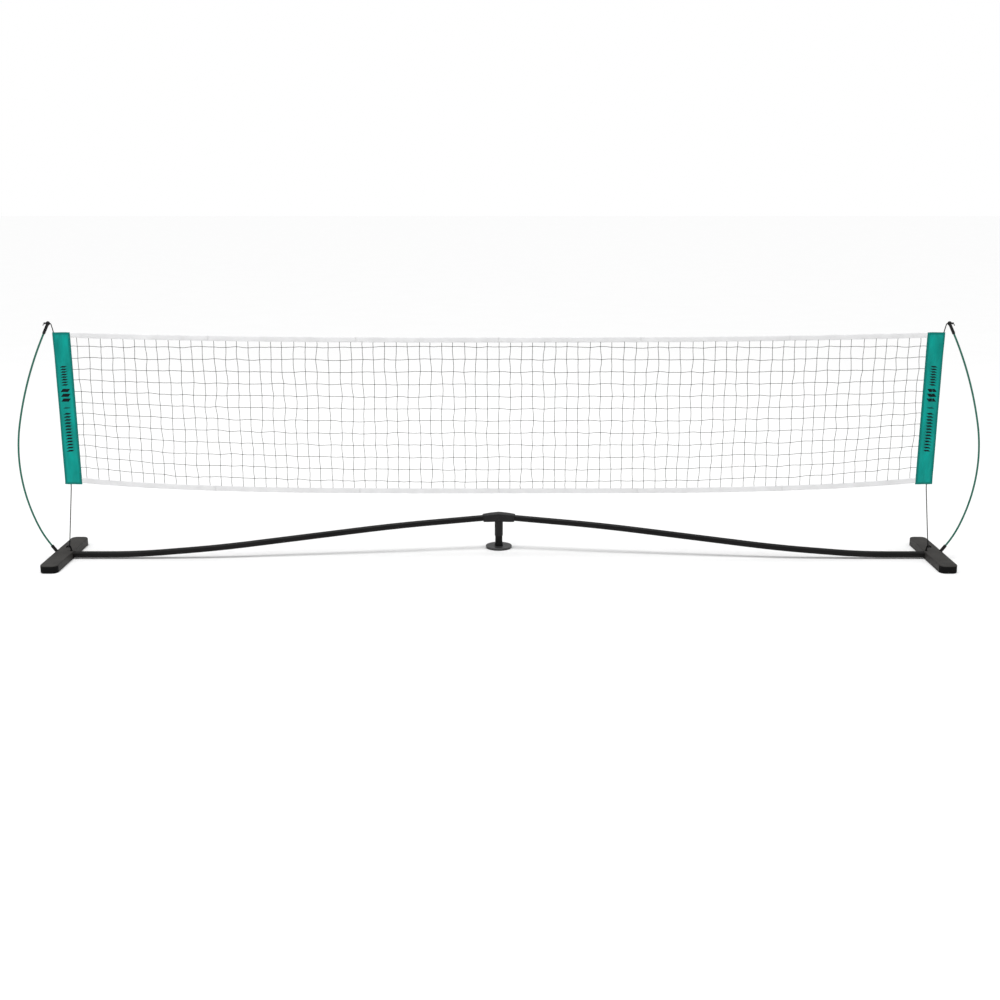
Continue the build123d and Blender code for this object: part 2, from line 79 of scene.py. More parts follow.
NET_HALF, NET_FOOT = 1.6626, 0.313
TOP_TAPE, BOTTOM_TAPE = 0.021, 0.022  # the tapes' widths
TOP_SAG, TOP_POWER = 0.019, 2.6
BOTTOM_SAG, BOTTOM_POWER = 0.043, 3.6
PITCH = 0.0444  # between two columns of the mesh
COLUMNS, ROWS = 37, 12  # columns on each side of the middle one
ROW_TOP, ROW_FOOT = (0.017, 0.034), (0.027, 0.043)  # first and last row from the tapes: middle, ends
TWINE_R = 0.00098
BREAKS = (0.0, 12.5 * PITCH, 25.5 * PITCH)  # where one stretch of the net ends and the next begins


# ---- Camera, floor and light ----
LENS, SENSOR = 48.7, 36.0  # in millimetres
CAMERA_PLACE = (0.005, -5.2636, 1.5357)
CAMERA_PITCH = 13.8  # degrees below level
FLOOR_REACH = 40.0
SUN_POWER, SUN_WIDTH = 2.3, 30
SUN_TILT = (5, -2)
DOME_POWER = 0.39
SOFTBOXES = (  # name, place, size, power
    ("softbox_left", (-3.4, -3.2, 3.6), 2.6, 38),
    ("softbox_right", (3.4, -3.2, 3.6), 2.6, 16),
    ("softbox_back", (0.0, 3.6, 3.4), 3.0, 20),
)
SOFTBOX_AIM = (0, 0, 0.45)


def link(thing):
    bpy.context.scene.collection.objects.link(thing)


def make_camera():
    data = bpy.data.cameras.new("camera")
    data.lens = LENS
    data.sensor_width = SENSOR
    camera = bpy.data.objects.new("camera", data)
    camera.location = CAMERA_PLACE
    camera.rotation_euler = (math.radians(90 - CAMERA_PITCH), 0, 0)
    link(camera)
    bpy.context.scene.camera = camera


def make_stage():
    corners = [(x * FLOOR_REACH, y * FLOOR_REACH, 0) for x, y in ((-1, -1), (1, -1), (1, 1), (-1, 1))]
    mesh = bpy.data.meshes.new("floor")
    mesh.from_pydata(corners, [], [(0, 1, 2, 3)])
    floor = bpy.data.objects.new("floor", mesh)
    link(floor)
    paint = Surface("floor_pale", roughness=0.9, specular=0.1)
    paint.color(paint.noise(3.0, 2), [(0, (0.88, 0.88, 0.88)), (1, (0.9, 0.9, 0.9))])
    floor.data.materials.append(paint.material)


def make_lights():
    sun = bpy.data.lights.new("overhead", "SUN")
    sun.energy = SUN_POWER
    sun.angle = math.radians(SUN_WIDTH)
    overhead = bpy.data.objects.new("overhead", sun)
    overhead.rotation_euler = (math.radians(SUN_TILT[0]), math.radians(SUN_TILT[1]), 0)
    link(overhead)
    for name, place, size, power in SOFTBOXES:
        light = bpy.data.lights.new(name, "AREA")
        light.shape = "SQUARE"
        light.size = size
        light.energy = power
        holder = bpy.data.objects.new(name, light)
        holder.location = place
        toward = Vector(SOFTBOX_AIM) - Vector(place)
        holder.rotation_euler = toward.to_track_quat("-Z", "Y").to_euler()
        link(holder)


def make_world():
    """A white background, and a dimmer white dome that lights the scene."""
    world = bpy.data.worlds.new("studio")
    world.use_nodes = True
    bpy.context.scene.world = world
    tree = world.node_tree
    seen = tree.nodes["Background"]
    dome = tree.nodes.new("ShaderNodeBackground")
    for background, strength in ((seen, 1.0), (dome, DOME_POWER)):
        background.inputs["Color"].default_value = (1, 1, 1, 1)
        background.inputs["Strength"].default_value = strength
    mix = tree.nodes.new("ShaderNodeMixShader")
    path = tree.nodes.new("ShaderNodeLightPath")
    tree.links.new(path.outputs["Is Camera Ray"], mix.inputs["Fac"])
    tree.links.new(dome.outputs[0], mix.inputs[1])
    tree.links.new(seen.outputs[0], mix.inputs[2])
    tree.links.new(mix.outputs[0], tree.nodes["World Output"].inputs["Surface"])
    bpy.context.scene.view_settings.view_transform = "Standard"


# ---- Materials ----
class Surface:
    """A procedural material: a Principled shader, and short calls that put texture on it."""

    def __init__(self, name, roughness, metallic=0.0, specular=0.5, sheen=0.0, coat=0.0):
        self.material = bpy.data.materials.new(name)
        self.material.use_nodes = True
        self.tree = self.material.node_tree
        self.shader = self.tree.nodes["Principled BSDF"]
        for socket, value in (
            ("Roughness", roughness),
            ("Metallic", metallic),
            ("Specular IOR Level", specular),
            ("Sheen Weight", sheen),
            ("Coat Weight", coat),
        ):
            self.shader.inputs[socket].default_value = value
        self.place = self.tree.nodes.new("ShaderNodeTexCoord")
        self.normal = None

    def node(self, kind, inputs, **settings):
        made = self.tree.nodes.new(kind)
        for key, value in settings.items():
            setattr(made, key, value)
        for socket, value in inputs.items():
            if isinstance(value, bpy.types.NodeSocket):
                self.tree.links.new(value, made.inputs[socket])
            else:
                made.inputs[socket].default_value = value
        return made

    def coords(self, scale=(1, 1, 1), turn=(0, 0, 0), kind="Object"):
        mapped = self.node("ShaderNodeMapping", {"Vector": self.place.outputs[kind], "Scale": scale,
                                                 "Rotation": turn})
        return mapped.outputs["Vector"]

    def noise(self, scale, detail=2.0, coords=None):
        made = self.node("ShaderNodeTexNoise", {"Vector": coords or self.coords(), "Scale": scale,
                                                "Detail": detail})
        return made.outputs["Fac"]

    def cells(self, scale, coords=None):
        made = self.node("ShaderNodeTexVoronoi", {"Vector": coords or self.coords(), "Scale": scale})
        return made.outputs["Distance"]

    def bands(self, period, direction, coords=None, distortion=0.0):
        """Sine bands of that period along one axis of the coordinates."""
        made = self.node("ShaderNodeTexWave", {"Vector": coords or self.coords(), "Distortion": distortion,
                                               "Scale": math.tau / (20 * period)}, bands_direction=direction)
        return made.outputs["Fac"]

    def math(self, operation, a, b):
        return self.node("ShaderNodeMath", {0: a, 1: b}, operation=operation).outputs[0]

    def color(self, factor, stops):
        """Base colour from a factor, over stops of (position, linear colour)."""
        ramp = self.node("ShaderNodeValToRGB", {"Fac": factor})
        points = ramp.color_ramp.elements
        while len(points) < len(stops):
            points.new(0.5)
        for point, (position, rgb) in zip(points, stops):
            point.position = position
            point.color = (*rgb, 1)
        self.tree.links.new(ramp.outputs["Color"], self.shader.inputs["Base Color"])

    def rough(self, factor, low, high):
        made = self.node("ShaderNodeMapRange", {"Value": factor, "To Min": low, "To Max": high})
        self.tree.links.new(made.outputs["Result"], self.shader.inputs["Roughness"])

    def bump(self, height, distance, strength=1.0):
        inputs = {"Height": height, "Distance": distance, "Strength": strength}
        if self.normal:
            inputs["Normal"] = self.normal
        self.normal = self.node("ShaderNodeBump", inputs).outputs["Normal"]
        self.tree.links.new(self.normal, self.shader.inputs["Normal"])


def shades(color, low, high):
    """Two ramp stops: the colour darkened and lightened by those factors."""
    return [(0.3, tuple(c * low for c in color)), (0.7, tuple(c * high for c in color))]


def coated_metal(name, color, roughness, specular=0.1):
    """Powder coat: faint orange peel, and long scuffs that are a little smoother."""
    made = Surface(name, roughness, specular=specular)
    made.color(made.noise(9, 4), shades(color, 0.8, 1.25))
    made.rough(made.noise(60, 5, made.coords((1, 6, 6))), roughness - 0.1, roughness + 0.12)
    made.bump(made.noise(1400, 2), 0.00004)
    made.bump(made.noise(350, 3), 0.00006)
    return made.material


def moulded(name, color, roughness, grain, depth, specular=0.18, coat=0.0):
    """Moulded plastic or rubber: a fine spark-eroded grain over slow variation."""
    made = Surface(name, roughness, specular=specular, coat=coat)
    made.color(made.noise(14, 4), shades(color, 0.82, 1.2))
    made.rough(made.noise(45, 4), roughness - 0.07, roughness + 0.09)
    made.bump(made.cells(grain), depth)
    made.bump(made.noise(grain * 0.35, 3), depth * 0.7)
    return made.material


def turned_steel(name):
    made = Surface(name, 0.3, metallic=1.0)
    made.color(made.noise(300, 3), [(0.3, (0.42, 0.42, 0.43)), (0.7, (0.6, 0.6, 0.61))])
    made.rough(made.noise(1500, 2, made.coords((1, 1, 0.1))), 0.22, 0.42)
    made.bump(made.noise(2200, 2, made.coords((1, 1, 0.15))), 0.00003)
    return made.material


def fibre_rod(name, color):
    """Pultruded fibreglass: fine streaks along the rod under a clear gloss."""
    made = Surface(name, 0.32, specular=0.3, coat=0.25)
    made.color(made.noise(900, 3, made.coords((1, 1, 0.03))), shades(color, 0.72, 1.3))
    made.rough(made.noise(120, 3, made.coords((1, 1, 0.2))), 0.25, 0.42)
    made.bump(made.noise(1600, 2, made.coords((1, 1, 0.03))), 0.00003)
    return made.material


def painted_edge_shade(made, flat, length, width):
    """Painted shade along a sleeve's hems and seams, where the cloth rounds over its thick edges: from 0 at
    the edges to 1 away from them.
    """
    parts = made.node("ShaderNodeSeparateXYZ", {"Vector": flat}).outputs
    across = made.math("ABSOLUTE", parts["Y"], 0.0)
    from_ends = made.math("MINIMUM", parts["X"], made.math("SUBTRACT", length, parts["X"]))
    from_sides = made.math("MINIMUM", across, made.math("SUBTRACT", width, across))
    inside = made.math("MINIMUM", from_ends, from_sides)
    hem_near, hem_far = 0.003, 0.010  # the painted shade fades out between these distances from an edge
    shade = made.node("ShaderNodeMapRange", {"Value": inside, "From Min": hem_near, "From Max": hem_far})
    return shade.outputs["Result"]


def woven(name, color, roughness, thread, depth, low, high, blotch=8.0, hems=None):
    """Woven cloth: two sets of threads on the piece's own UVs, in metres, over slow variation. When hems are
    given, the colour instead follows painted sheen streaks and painted shade towards the hems and seams.
    """
    made = Surface(name, roughness, specular=0.14)
    flat = made.coords(kind="UV")
    factor = made.noise(blotch, 4)
    stops = shades(color, low, high)
    if hems:
        # painted light on the sleeve: diagonal streaks of painted sheen, and painted shade darkening the
        # cloth towards its hems and seams
        painted_sheen_share, edge_shade_share, painted_shade_dark = 0.3, 0.7, 0.55
        painted_sheen = made.noise(1, 3, made.coords((9, 26, 1), (0, 0, 0.35), "UV"))
        cloth = made.math("MULTIPLY", painted_sheen, painted_sheen_share)
        edge_shade_factor = made.math("MULTIPLY", painted_edge_shade(made, flat, *hems), edge_shade_share)
        factor = made.math("ADD", cloth, edge_shade_factor)
        stops = [(place, tuple(c * shade for c in color))
                 for place, shade in ((0.1, painted_shade_dark), (0.8, low), (0.92, high))]
    made.color(factor, stops)
    made.rough(made.noise(35, 3), roughness - 0.06, roughness + 0.1)
    across = made.bands(thread, "X", flat, 0.4)
    along = made.bands(thread, "Y", flat, 0.4)
    made.bump(made.math("MULTIPLY", across, along), depth)
    made.bump(made.noise(160, 4), depth * 1.5)
    return made.material


def twisted(name, color, roughness, lay, depth, low=0.7, high=1.3):
    """Twine or thread: slanting strands from UVs that run along it, in metres."""
    made = Surface(name, roughness, specular=0.25, sheen=0.3)
    strands = made.bands(lay, "X", made.coords(turn=(0, 0, math.radians(38)), kind="UV"), 0.6)
    made.color(made.noise(25, 3), shades(color, low, high))
    made.rough(made.noise(80, 2), roughness - 0.05, roughness + 0.1)
    made.bump(strands, depth)
    made.bump(made.noise(3000, 2), depth * 0.5)
    return made.material


# ---- Mesh building ----
class Builder:
    """Gathers vertices, faces and UVs of many parts into one smooth mesh object."""

    def __init__(self):
        self.points = []
        self.faces = []
        self.uvs = []
        self.count = 0

    def add(self, points, faces, uvs):
        points = np.asarray(points, float)
        self.faces += [tuple(i + self.count for i in face) for face in faces]
        self.uvs += uvs
        self.points.append(points)
        self.count += len(points)

    def grid(self, points, uv, closed_across=False):
        """Faces over a (rows, columns, 3) array of points, with uv of the same shape."""
        rows, columns = points.shape[:2]
        faces, uvs = [], []
        for i in range(rows - 1):
            for j in range(columns if closed_across else columns - 1):
                k = (j + 1) % columns
                faces.append((i * columns + j, i * columns + k, (i + 1) * columns + k, (i + 1) * columns + j))
                far = uv[:, j + 1] if j + 1 < uv.shape[1] else uv[:, j]
                uvs += [tuple(uv[i, j]), tuple(far[i]), tuple(far[i + 1]), tuple(uv[i + 1, j])]
        self.add(points.reshape(-1, 3), faces, uvs)

    def tube(self, path, radius, sides=6, closed=False):
        """A round tube with flat ends along a path; radius may be a list, one for each point."""
        path = np.asarray(path, float)
        radii = np.broadcast_to(np.asarray(radius, float), len(path))
        steps = np.roll(path, -1, 0) - np.roll(path, 1, 0)
        if not closed:
            steps[0], steps[-1] = path[1] - path[0], path[-1] - path[-2]
        along = steps / np.maximum(np.linalg.norm(steps, axis=1, keepdims=True), 1e-12)
        side = np.cross(along[0], (0, 1, 0) if abs(along[0][1]) < 0.8 else (1, 0, 0))
        rings = []
        turns = np.linspace(0, math.tau, sides, endpoint=False)
        for point, direction, r in zip(path, along, radii):
            side = side - direction * (side @ direction)
            side = side / np.linalg.norm(side)
            other = np.cross(direction, side)
            rings.append([point + r * (math.cos(t) * side + math.sin(t) * other) for t in turns])
        rings = np.array(rings)
        length = np.concatenate([[0], np.cumsum(np.linalg.norm(np.diff(path, axis=0), axis=1))])
        round_it = np.append(turns, math.tau) * radii.max()
        if closed:
            rings = np.concatenate([rings, rings[:1]])
            length = np.append(length, length[-1] + np.linalg.norm(path[0] - path[-1]))
        uv = np.stack(np.meshgrid(length, round_it, indexing="ij"), axis=2)
        self.grid(rings, uv, closed_across=True)
        if not closed:
            self.cap_ends(sides, len(rings))

    def cap_ends(self, sides, rows):
        """Flat faces over the first and last row of the grid that was added last."""
        start = self.count - rows * sides
        self.faces.append(tuple(start + j for j in range(sides))[::-1])
        self.faces.append(tuple(self.count - sides + j for j in range(sides)))
        self.uvs += [(0.0, 0.0)] * (2 * sides)

    def build(self, name, material, merge=0.0):
        mesh = bpy.data.meshes.new(name)
        mesh.from_pydata(np.concatenate(self.points).tolist(), [], self.faces)
        layer = mesh.uv_layers.new(name="UVMap")
        layer.data.foreach_set("uv", np.array(self.uvs, np.float32).ravel())
        mesh.polygons.foreach_set("use_smooth", [True] * len(mesh.polygons))
        mesh.materials.append(material)
        mesh.validate()
        piece = bpy.data.objects.new(name, mesh)
        link(piece)
        if merge:
            weld = piece.modifiers.new("weld", "WELD")
            weld.merge_threshold = merge
            apply_modifiers(piece)
        return piece


def apply_modifiers(piece):
    evaluated = piece.evaluated_get(bpy.context.evaluated_depsgraph_get())
    mesh = bpy.data.meshes.new_from_object(evaluated)
    piece.modifiers.clear()
    piece.data = mesh


def smooth_route(points, resolution=12):
    """The points that a NURBS spline through a route's control points gives."""
    curve = bpy.data.curves.new("route", "CURVE")
    curve.dimensions = "3D"
    spline = curve.splines.new("NURBS")
    spline.points.add(len(points) - 1)
    for point, place in zip(spline.points, points):
        point.co = (*place, 1)
    spline.order_u = 3
    spline.use_endpoint_u = True
    spline.resolution_u = resolution
    holder = bpy.data.objects.new("route", curve)
    mesh = bpy.data.meshes.new_from_object(holder)
    line = [tuple(v.co) for v in mesh.vertices]
    bpy.data.meshes.remove(mesh)
    bpy.data.objects.remove(holder)
    bpy.data.curves.remove(curve)
    return line


# ---- Shapes of noise and slack ----
def drift(x, z, size, seed):
    """Smooth noise from -1 to 1 that varies over that size; each seed is another pattern."""
    return noise.noise(Vector((x / size + seed * 7.3, z / size, seed * 3.1)))


def hump(distance, reach):
    """1 where the distance is 0, falling smoothly past the reach."""
    return math.exp(-((distance / reach) ** 2))


def fade(distance, reach):
    """1 where the distance is 0, falling in a straight line to 0 at the reach."""
    return max(0.0, 1 - distance / reach)


# ---- Bowstrings: knot on the tip cap, down through the sleeve, to the loop on the hook ----
def spiral(radius, turns, pitch, steps=40):
    """Points of a small coil round +Z, in millimetres from its start's middle."""
    return [(radius * math.cos(t), radius * math.sin(t), pitch * t / math.tau)
            for t in np.linspace(0, turns * math.tau, steps)]


def make_bowstring(side, sign):
    def at(x, z, y=0.0):
        return (sign * x, y, z)

    knob_side = at(KNOB_X - KNOB_R, KNOB_Z)
    route = [
        at(CAP_KNOT_X, KNOB_Z), at(KNOB_X + 0.004, KNOB_Z), knob_side,
        at(KNOB_X - 0.0112, KNOB_Z - 0.0012), at(KNOB_X - 0.0132, KNOB_Z - 0.0075),
        at(CORD_TOP + 0.0024, NET_TOP + 0.010), at(CORD_TOP + 0.0006, NET_TOP + 0.001),
        at(CORD_TOP - 0.0006, NET_TOP - 0.015), at(CORD_FOOT + 0.0007, SLEEVE_FOOT + 0.02),
        at(CORD_FOOT - 0.0002, SLEEVE_FOOT - 0.008), at(CORD_FOOT + 0.002, SLEEVE_FOOT - 0.032),
        at(HOOK_KNOT_X - 0.0016, HOOK_KNOT_Z + 0.0168), at(HOOK_KNOT_X, HOOK_KNOT_Z + 0.0028),
    ]
    line = smooth_route(route)
    string = Builder()
    string.tube(line, CORD_R, sides=12)
    cord = string.build(f"{side}_cord", cord_braid)
    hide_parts(f"{side}_bowstring", f"{side}_cord_end")
    beside_knob = at(KNOB_X - 0.012, KNOB_Z)
    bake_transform(cord)
    lower = make_hook_loop(side, at)
    upper = make_cap_knot(side, at)


def make_hook_loop(side, at):
    """The knot at the cord's lower end, and the loop that passes under the hook."""

    def near_knot(x, y, z):
        """A point given in millimetres from the knot."""
        return at(HOOK_KNOT_X + x / 1000, HOOK_KNOT_Z + z / 1000, y / 1000)

    knots = Builder()
    coil = spiral(radius=2.5, turns=2.6, pitch=2.8)
    knots.tube([near_knot(*point) for point in coil], KNOT_CORD_R, sides=8)
    over = [(1.6, -2.6, -0.6), (2.9, -1.2, 2.6), (1.9, 1.6, 5.2), (-0.9, 2.6, 6.0), (-2.5, 0.2, 4.4)]
    knots.tube(smooth_route([near_knot(*point) for point in over]), KNOT_CORD_R, sides=8)
    loop = [
        at(HOOK_KNOT_X, HOOK_KNOT_Z, LOOP_HALF * 0.3),
        at(HOOK_KNOT_X + 0.0012, HOOK_KNOT_Z - 0.0052, LOOP_HALF * 0.85),
        at(HOOK_KNOT_X + 0.0027, HOOK_KNOT_Z - 0.0127, LOOP_HALF * 1.03),
        at(LOOP_BAR_X - 0.0008, LOOP_BAR_Z + 0.0042, LOOP_HALF),
        at(LOOP_BAR_X, LOOP_BAR_Z + 0.0004, LOOP_HALF * 0.72),
        at(LOOP_BAR_X, LOOP_BAR_Z - 0.0001),
    ]
    loop += [(x, -y, z) for x, y, z in loop[-2::-1]]
    knots.tube(smooth_route(loop), 0.9 * CORD_R, sides=10)
    piece = knots.build(f"{side}_hook_loop", shaded_knot_braid)
    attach(piece, f"{side}_foot")
    return piece


def make_cap_knot(side, at):
    """The knot on the outer side of the tip cap, with its short tail."""

    def near_knot(x, y, z):
        """A point given in millimetres from the knot."""
        return at(CAP_KNOT_X + x / 1000, KNOB_Z + z / 1000, y / 1000)

    knot = Builder()
    inward = 2.6  # the coil lies along X, from this far on the knob's side
    coil = spiral(radius=2.3, turns=2.3, pitch=2.4)
    knot.tube([near_knot(z - inward, x, y) for x, y, z in coil], KNOT_CORD_R, sides=8)
    tail = [(1.5, 2.0, 0.5), (2.6, 0.8, -0.6), (4.0, -0.6, -2.0), (6.5, -0.3, -5.4), (7.6, 0.2, -8.8)]
    knot.tube(smooth_route([near_knot(*point) for point in tail]), KNOT_CORD_R, sides=8)
    piece = knot.build(f"{side}_cap_knot", shaded_knot_braid)
    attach(piece, f"{side}_rod")
    return piece


# ---- Side sleeves: cloth folded round the bowstring and sewn along the net ----
CLOTH_THICK = 0.0005
CLOTH_HALF, CLOTH_BREATH = 0.0011, 0.0004  # half of a flat sleeve's thickness, and how much it varies
CORD_BULGE, CORD_REACH = 0.0017, 0.005  # the ridge over the cord
HELD_REACH = 0.007  # beside the tight cord the cloth keeps still
SEAM_BULGE, SEAM_REACH = 0.0006, 0.014  # the folded seam
TAPE_BULGE, TAPE_REACH, LOW_TAPE_UP = 0.0008, 0.012, 0.016  # the tapes sewn into the seam
FOLD_ROUND, SEAM_ROUND = 0.0022, 0.0012  # over which the cloth closes at its two edges
LONG_CREASE, SHORT_CREASE = 0.0046, 0.0016
TOP_PULL, TOP_PULL_REACH = 0.0028, 0.16  # creases that the cord pulls into the sleeve's ends
FOOT_PULL, FOOT_PULL_REACH = 0.0016, 0.1
PUCKER, PUCKER_LENGTH, PUCKER_REACH = 0.00035, 0.0036, 0.012  # the seam's small gathers
FOLD_SLACK, END_SLACK = 0.0012, 0.0008  # how far the sleeve's edges stray from straight


def sleeve_half(across, z, from_fold, from_seam, from_cord, front):
    """Half of the sleeve's thickness: more over the cord, the seam and the tapes' ends."""
    body = CLOTH_HALF + CLOTH_BREATH * drift(across, z, size=0.11, seed=5 if front else 9)
    bulge = CORD_BULGE * hump(from_cord, CORD_REACH)
    tapes = max(hump(NET_TOP - TOP_TAPE / 2 - z, TAPE_REACH), hump(SLEEVE_FOOT + LOW_TAPE_UP - z, TAPE_REACH))
    seam = fade(from_seam, SEAM_REACH) * (SEAM_BULGE + TAPE_BULGE * tapes)
    ends = min(1.0, from_fold / FOLD_ROUND) ** 0.5 * min(1.0, from_seam / SEAM_ROUND) ** 0.5
    return (body + bulge + seam) * max(ends, 0.02)


def sleeve_creases(across, up, x, z):
    """How far the slanting creases stand out of the sleeve's plane."""
    middle = math.sin(math.pi * min(1.0, max(0.0, across))) ** 0.6
    crease = LONG_CREASE * drift(x * 0.8 + z * 0.45, x * 2 - z * 0.25, size=0.05, seed=1) * middle
    crease += SHORT_CREASE * drift(x * 1.6 - z * 0.4, z * 0.7 + x, size=0.024, seed=2) * middle
    top = TOP_PULL * hump(1 - up, TOP_PULL_REACH) * math.sin((across * 1.4 - up * 5) * 4.2)
    foot = FOOT_PULL * hump(up, FOOT_PULL_REACH) * math.sin((across * 1.2 + up * 6) * 4.0)
    return crease + top + foot


def sleeve_point(across, up, front, sign, lift=0.0):
    """A point of a sleeve's cloth: across 0 at the outer fold to 1 at the seam, up 0 to 1."""
    fold = FOLD_FOOT + (FOLD_TOP - FOLD_FOOT) * up
    width = fold - (SEAM_FOOT + (SEAM_TOP - SEAM_FOOT) * up)
    cord = CORD_FOOT + (CORD_TOP - CORD_FOOT) * up
    from_fold = across * width
    from_seam = width - from_fold
    from_cord = from_fold - (fold - cord)
    x = fold - from_fold
    z = SLEEVE_FOOT + (NET_TOP - SLEEVE_FOOT) * up
    half = sleeve_half(across, z, from_fold, from_seam, from_cord, front)
    free = min(1.0, from_seam / PUCKER_REACH) * (1 - hump(from_cord, HELD_REACH))
    pucker = PUCKER * math.sin(z / PUCKER_LENGTH) * fade(from_seam, PUCKER_REACH)
    y = sleeve_creases(across, up, x, z) * free + pucker + (-1 if front else 1) * (half + lift)
    slack = FOLD_SLACK * drift(z, 0, size=0.17, seed=3) * (1 - across)
    return (sign * (x + slack), y, z + END_SLACK * drift(across, up, size=0.5, seed=4))


def make_sleeve(side, sign):
    face_points, rows = 34, 190
    spread = [0.5 - 0.5 * math.cos(math.pi * i / (face_points - 1)) for i in range(face_points)]
    loop = [(a, True) for a in reversed(spread)] + [(a, False) for a in spread[1:-1]]
    ups = np.linspace(0, 1, rows)
    points = np.array([[sleeve_point(a, up, front, sign) for a, front in loop] for up in ups])
    columns = np.array([(-a if front else a) * SLEEVE_WIDTH for a, front in loop] + [SLEEVE_WIDTH])
    uv = np.stack(np.meshgrid(ups * (NET_TOP - SLEEVE_FOOT), columns, indexing="ij"), axis=2)
    shell = Builder()
    shell.grid(points, uv, closed_across=True)
    cloth = shell.build(f"{side}_sleeve_cloth", sleeve_cloth)
    solid = cloth.modifiers.new("cloth", "SOLIDIFY")
    solid.thickness = CLOTH_THICK
    solid.offset = -sign
    apply_modifiers(cloth)
    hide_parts(f"{side}_side_sleeve")
    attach(cloth, f"{side}_foot")
    sewn_on = [make_sleeve_stitches(side, sign), make_print(side, sign)]


def make_sleeve_stitches(side, sign):
    """Running stitches along the seam and both hems, on both faces."""
    thread_r, rise = 0.00022, 0.0003
    seam_across = 1 - 0.0045 / SLEEVE_WIDTH
    seam_places = [(seam_across, up) for up in np.linspace(0.006, 0.994, 4 * 150)]
    hem_places = [[(across, up) for across in np.linspace(0.04, 0.95, 4 * 15)] for up in (0.018, 0.982)]
    sewing = Builder()
    for front in (True, False):
        for places in (seam_places, *hem_places):
            path = []
            for k, (across, up) in enumerate(places):
                path.append(sleeve_point(across, up, front, sign, rise if k % 4 < 2 else -rise))
            sewing.tube(path, thread_r, sides=5)
    stitches = sewing.build(f"{side}_sleeve_stitches", teal_thread)
    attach(stitches, f"{side}_foot")
    return stitches


PRINT_ROWS = (  # number of bars, top of the first one, step, height, share of the sleeve's width
    (8, 0.782, 0.0102, 0.0058, 0.28),
    (3, 0.692, 0.0190, 0.0125, 0.42),
    (1, 0.618, 0.0, 0.0040, 0.30),
    (13, 0.596, 0.0124, 0.0064, 0.30),
)
PRINT_MIDDLE, PRINT_SLANT = 0.47, 0.14  # both as shares of the sleeve's width
PRINT_OUT, PRINT_IN = 0.00018, -0.0002  # its outer and inner face, from the cloth


def make_print(side, sign):
    """Plain slanting bars where the sleeve carries its dark print."""
    bars = Builder()
    rows, columns = 4, 7
    strokes = []
    for count, top, step, tall, wide in PRINT_ROWS:
        strokes += [(top - step * k, tall, wide) for k in range(count)]
    for top, tall, wide in strokes:
        faces = []
        for lift in (PRINT_OUT, PRINT_IN):
            grid = []
            for i in range(rows):
                t = i / (rows - 1)
                up = (top - tall * (1 - t) - SLEEVE_FOOT) / (NET_TOP - SLEEVE_FOOT)
                left = PRINT_MIDDLE - wide / 2 + PRINT_SLANT * (t - 0.5)
                grid.append([sleeve_point(left + wide * j / (columns - 1), up, True, sign, lift)
                             for j in range(columns)])
            faces.append(np.array(grid))
        front, back = faces if sign < 0 else faces[::-1]
        uv = np.stack(np.meshgrid(np.linspace(0, tall, rows), np.linspace(0, wide * SLEEVE_WIDTH, columns),
                                  indexing="ij"), axis=2)
        bars.grid(front[:, ::-1], uv)
        bars.grid(back, uv)
        for edge_a, edge_b in ((front[0], back[0]), (back[-1], front[-1]),
                               (back[:, 0], front[:, 0]), (front[:, -1], back[:, -1])):
            bars.grid(np.stack([edge_a, edge_b]), np.zeros((2, len(edge_a), 2)))
    piece = bars.build(f"{side}_sleeve_print", print_ink, merge=0.00002)
    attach(piece, f"{side}_foot")
    return piece


# ---- Net: tapes, stitches and knotted mesh, in three stretches on each side ----
TAPE_HALF = 0.00125  # half of a folded tape's thickness
TAPE_CRIMP, TAPE_RIPPLE, TAPE_FRILL = 0.00028, 0.0007, 0.0006  # small waves across, along and at the edges
TAPE_FACE_STEPS, TAPE_STEP = 7, 0.006
TAPE_TUCK, TAPE_END_UP = 0.006, 0.01  # how far a tape reaches into the sleeve, and where that is measured
STITCH_INSET, STITCH_STEP = 0.0045, 0.00105
NET_WAVE = 0.0035
LAST_STRETCH = 2
TWINE_TUCK, TAPE_HOLD = 0.004, 0.003  # how far the twine reaches into the sleeve and the tapes
COLUMN_SLIP, ROW_SLIP = 0.0026, 0.0022  # uneven knots, each on its own
COLUMN_DRIFT, ROW_DRIFT = 0.0052, 0.0036  # and together with those beside them
CELL_SLACK = 0.0013
KEY_STEP = 0.045  # between two rows, as the noise reads them


def edge(x, height, sag, power):
    return height - sag * (1 - min(1.0, abs(x) / NET_HALF) ** power)


def top_edge(x):
    return edge(x, NET_TOP, TOP_SAG, TOP_POWER)


def foot_edge(x):
    return edge(x, NET_FOOT, BOTTOM_SAG, BOTTOM_POWER)


def inner_edge(z):
    """The sleeve's seam at that height."""
    return SEAM_FOOT + (SEAM_TOP - SEAM_FOOT) * (z - SLEEVE_FOOT) / (NET_TOP - SLEEVE_FOOT)


def wave(x, z):
    """How far the hanging net stands out of its plane: it is pulled flat at the sleeves."""
    return NET_WAVE * drift(x, z, size=0.42, seed=11) * (1 - min(1.0, abs(x) / NET_HALF) ** 6)


def tape_edges(x, top):
    """The upper and lower edge of a tape at x."""
    if top:
        return top_edge(x), top_edge(x) - TOP_TAPE
    return foot_edge(x) + BOTTOM_TAPE, foot_edge(x)


